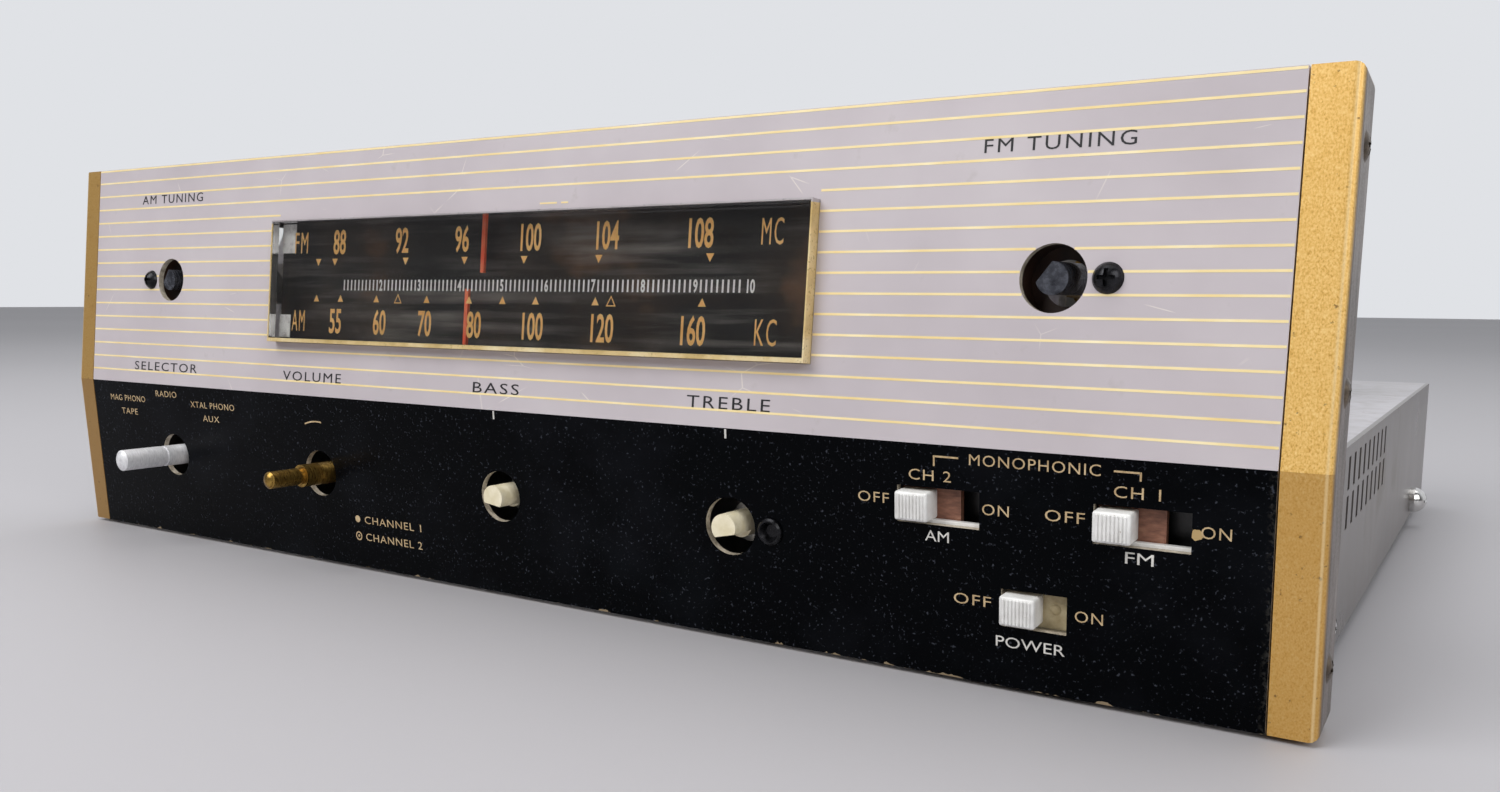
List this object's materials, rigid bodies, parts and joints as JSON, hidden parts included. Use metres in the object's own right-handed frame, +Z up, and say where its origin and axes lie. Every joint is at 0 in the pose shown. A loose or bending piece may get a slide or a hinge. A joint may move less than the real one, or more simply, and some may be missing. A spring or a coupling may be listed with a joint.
{
  "type": "tube stereo receiver",
  "caption": "Open-chassis tube stereo AM/FM receiver with a bent two-tone front panel, slide-rule dial, gilt end caps and bare control shafts.",
  "frame": {"origin": "on the table under the middle of the overall box", "axes": "+X to the right seen from the front, +Y to the back, +Z up; the front panel faces -Y"},
  "size_m": [0.387, 0.3328, 0.1174],
  "materials": {
    "silver_paint": "satin sprayed and screened",
    "gilt_casting": "gilt lacquer over a casting",
    "gilt_trim": "gilt lacquer",
    "blackened_screw": "black oxide",
    "dull_screw": "aged zinc",
    "bright_screw": "nickel plated",
    "clear_acrylic": "polished clear plastic",
    "dial_black": "matt black paint",
    "pointer_red": "red enamel",
    "dial_cord": "waxed braid",
    "zinc_steel": "zinc plated",
    "bright_aluminium": "turned",
    "dark_steel": "blackened",
    "turned_brass": "turned and aged",
    "ivory_nylon": "moulded",
    "white_plastic": "moulded",
    "phenolic": "brown phenolic board",
    "plated_chassis": "cadmium plated sheet",
    "black_rubber": "moulded",
    "lamp_holder": "lamp and spring clip",
    "dark_phenolic": "moulded",
    "valve_glass": "blown",
    "transformer_iron": "varnished laminations",
    "black_enamel": "black enamel",
    "wound_paper": "varnished paper over wire",
    "can_aluminium": "drawn",
    "ferrite": "fired ferrite",
    "black_plastic": "moulded"
  },
  "bodies": {
    "receiver": {"front_panel": "silver_paint", "left_end_cap": "gilt_casting", "right_end_cap": "gilt_casting", "end_cap_screws": "dull_screw", "panel_screws": "blackened_screw", "dial_bezel": "gilt_trim", "dial_lens": "clear_acrylic", "dial_plate": "dial_black", "dial_lamps": "lamp_holder", "fm_dial_cord": "dial_cord", "am_dial_cord": "dial_cord", "cord_guides": "zinc_steel", "tuning_bushes": "turned_brass", "tuning_brackets": "zinc_steel", "gang_frames": "zinc_steel", "selector_switch": "phenolic", "volume_control": "zinc_steel", "tone_controls": "zinc_steel", "control_nuts": "bright_screw", "channel_switch_bodies": "zinc_steel", "power_switch_body": "zinc_steel", "chassis_deck": "plated_chassis", "chassis_walls": "plated_chassis", "bottom_plate": "plated_chassis", "chassis_screws": "bright_screw", "rubber_feet": "black_rubber", "panel_brackets": "zinc_steel", "valve_sockets": "dark_phenolic", "output_valves": "valve_glass", "small_valves": "valve_glass", "valve_shields": "can_aluminium", "power_transformer_core": "transformer_iron", "power_transformer_covers": "black_enamel", "output_transformer_cores": "transformer_iron", "output_transformer_coils": "wound_paper", "filter_capacitors": "can_aluminium", "if_cans": "can_aluminium", "ferrite_antenna": "ferrite", "phono_jacks": "bright_screw", "terminal_strips": "phenolic", "terminal_screws": "bright_screw", "rear_mains_fittings": "black_plastic"},
    "selector": {"selector_shaft": "bright_aluminium"},
    "volume_outer": {"volume_outer_shaft": "turned_brass"},
    "volume_inner": {"volume_inner_shaft": "turned_brass"},
    "bass": {"bass_shaft": "ivory_nylon"},
    "treble": {"treble_shaft": "ivory_nylon"},
    "fm_drum": {"fm_dial_drum": "bright_aluminium", "fm_gang_rotor": "bright_aluminium"},
    "fm_needle": {"fm_pointer": "pointer_red"},
    "fm_tuning": {"fm_tuning_shaft": "dark_steel"},
    "am_drum": {"am_dial_drum": "bright_aluminium", "am_gang_rotor": "bright_aluminium"},
    "am_needle": {"am_pointer": "pointer_red"},
    "am_tuning": {"am_tuning_shaft": "dark_steel"},
    "am_switch": {"am_switch_knob": "white_plastic", "am_switch_carrier": "phenolic"},
    "fm_switch": {"fm_switch_knob": "white_plastic", "fm_switch_carrier": "phenolic"},
    "power_switch": {"power_switch_knob": "white_plastic"}
  },
  "joints": [
    {"name": "selector_turn", "type": "hinge", "parent": "receiver", "child": "selector", "pos_m": [-0.141, -0.149, 0.0266], "axis": [0, 1, 0], "range_deg": [-60, 60]},
    {"name": "volume_outer_turn", "type": "hinge", "parent": "receiver", "child": "volume_outer", "pos_m": [-0.0705, -0.149, 0.0266], "axis": [0, 1, 0], "range_deg": [-150, 150]},
    {"name": "volume_inner_turn", "type": "hinge", "parent": "receiver", "child": "volume_inner", "pos_m": [-0.0705, -0.149, 0.0266], "axis": [0, 1, 0], "range_deg": [-150, 150]},
    {"name": "bass_turn", "type": "hinge", "parent": "receiver", "child": "bass", "pos_m": [0, -0.149, 0.0266], "axis": [0, 1, 0], "range_deg": [-150, 150]},
    {"name": "treble_turn", "type": "hinge", "parent": "receiver", "child": "treble", "pos_m": [0.0705, -0.149, 0.0266], "axis": [0, 1, 0], "range_deg": [-150, 150]},
    {"name": "fm_drum_turn", "type": "hinge", "parent": "receiver", "child": "fm_drum", "pos_m": [0.095, -0.1215, 0.076], "axis": [0, 1, 0], "range_deg": [-77.8, 97.4]},
    {"name": "fm_tuning_turn", "type": "hinge", "parent": "receiver", "child": "fm_tuning", "pos_m": [0.142, -0.119, 0.08166], "axis": [0, 1, 0], "range_deg": [-787.5, 985.7]},
    {"name": "fm_pointer_slide", "type": "slide", "parent": "receiver", "child": "fm_needle", "axis": [1, 0, 0], "range_m": [-0.0547, 0.0684]},
    {"name": "am_drum_turn", "type": "hinge", "parent": "receiver", "child": "am_drum", "pos_m": [-0.095, -0.109, 0.0716], "axis": [0, 1, 0], "range_deg": [-70.5, 103.2]},
    {"name": "am_tuning_turn", "type": "hinge", "parent": "receiver", "child": "am_tuning", "pos_m": [-0.142, -0.109, 0.08166], "axis": [0, 1, 0], "range_deg": [-713.5, 1044.5]},
    {"name": "am_pointer_slide", "type": "slide", "parent": "receiver", "child": "am_needle", "axis": [1, 0, 0], "range_m": [-0.0496, 0.0725]},
    {"name": "am_switch_slide", "type": "slide", "parent": "receiver", "child": "am_switch", "axis": [1, 0, 0], "range_m": [0, 0.0048]},
    {"name": "fm_switch_slide", "type": "slide", "parent": "receiver", "child": "fm_switch", "axis": [1, 0, 0], "range_m": [0, 0.0048]},
    {"name": "power_switch_slide", "type": "slide", "parent": "receiver", "child": "power_switch", "axis": [1, 0, 0], "range_m": [0, 0.0052]}
  ],
  "couplings": [
    {"joint": "fm_tuning_turn", "follows": "fm_drum_turn", "ratio": 10.113},
    {"joint": "fm_pointer_slide", "follows": "fm_drum_turn", "m_per_rad": 0.0402},
    {"joint": "am_tuning_turn", "follows": "am_drum_turn", "ratio": 10.113},
    {"joint": "am_pointer_slide", "follows": "am_drum_turn", "m_per_rad": 0.0402}
  ]
}
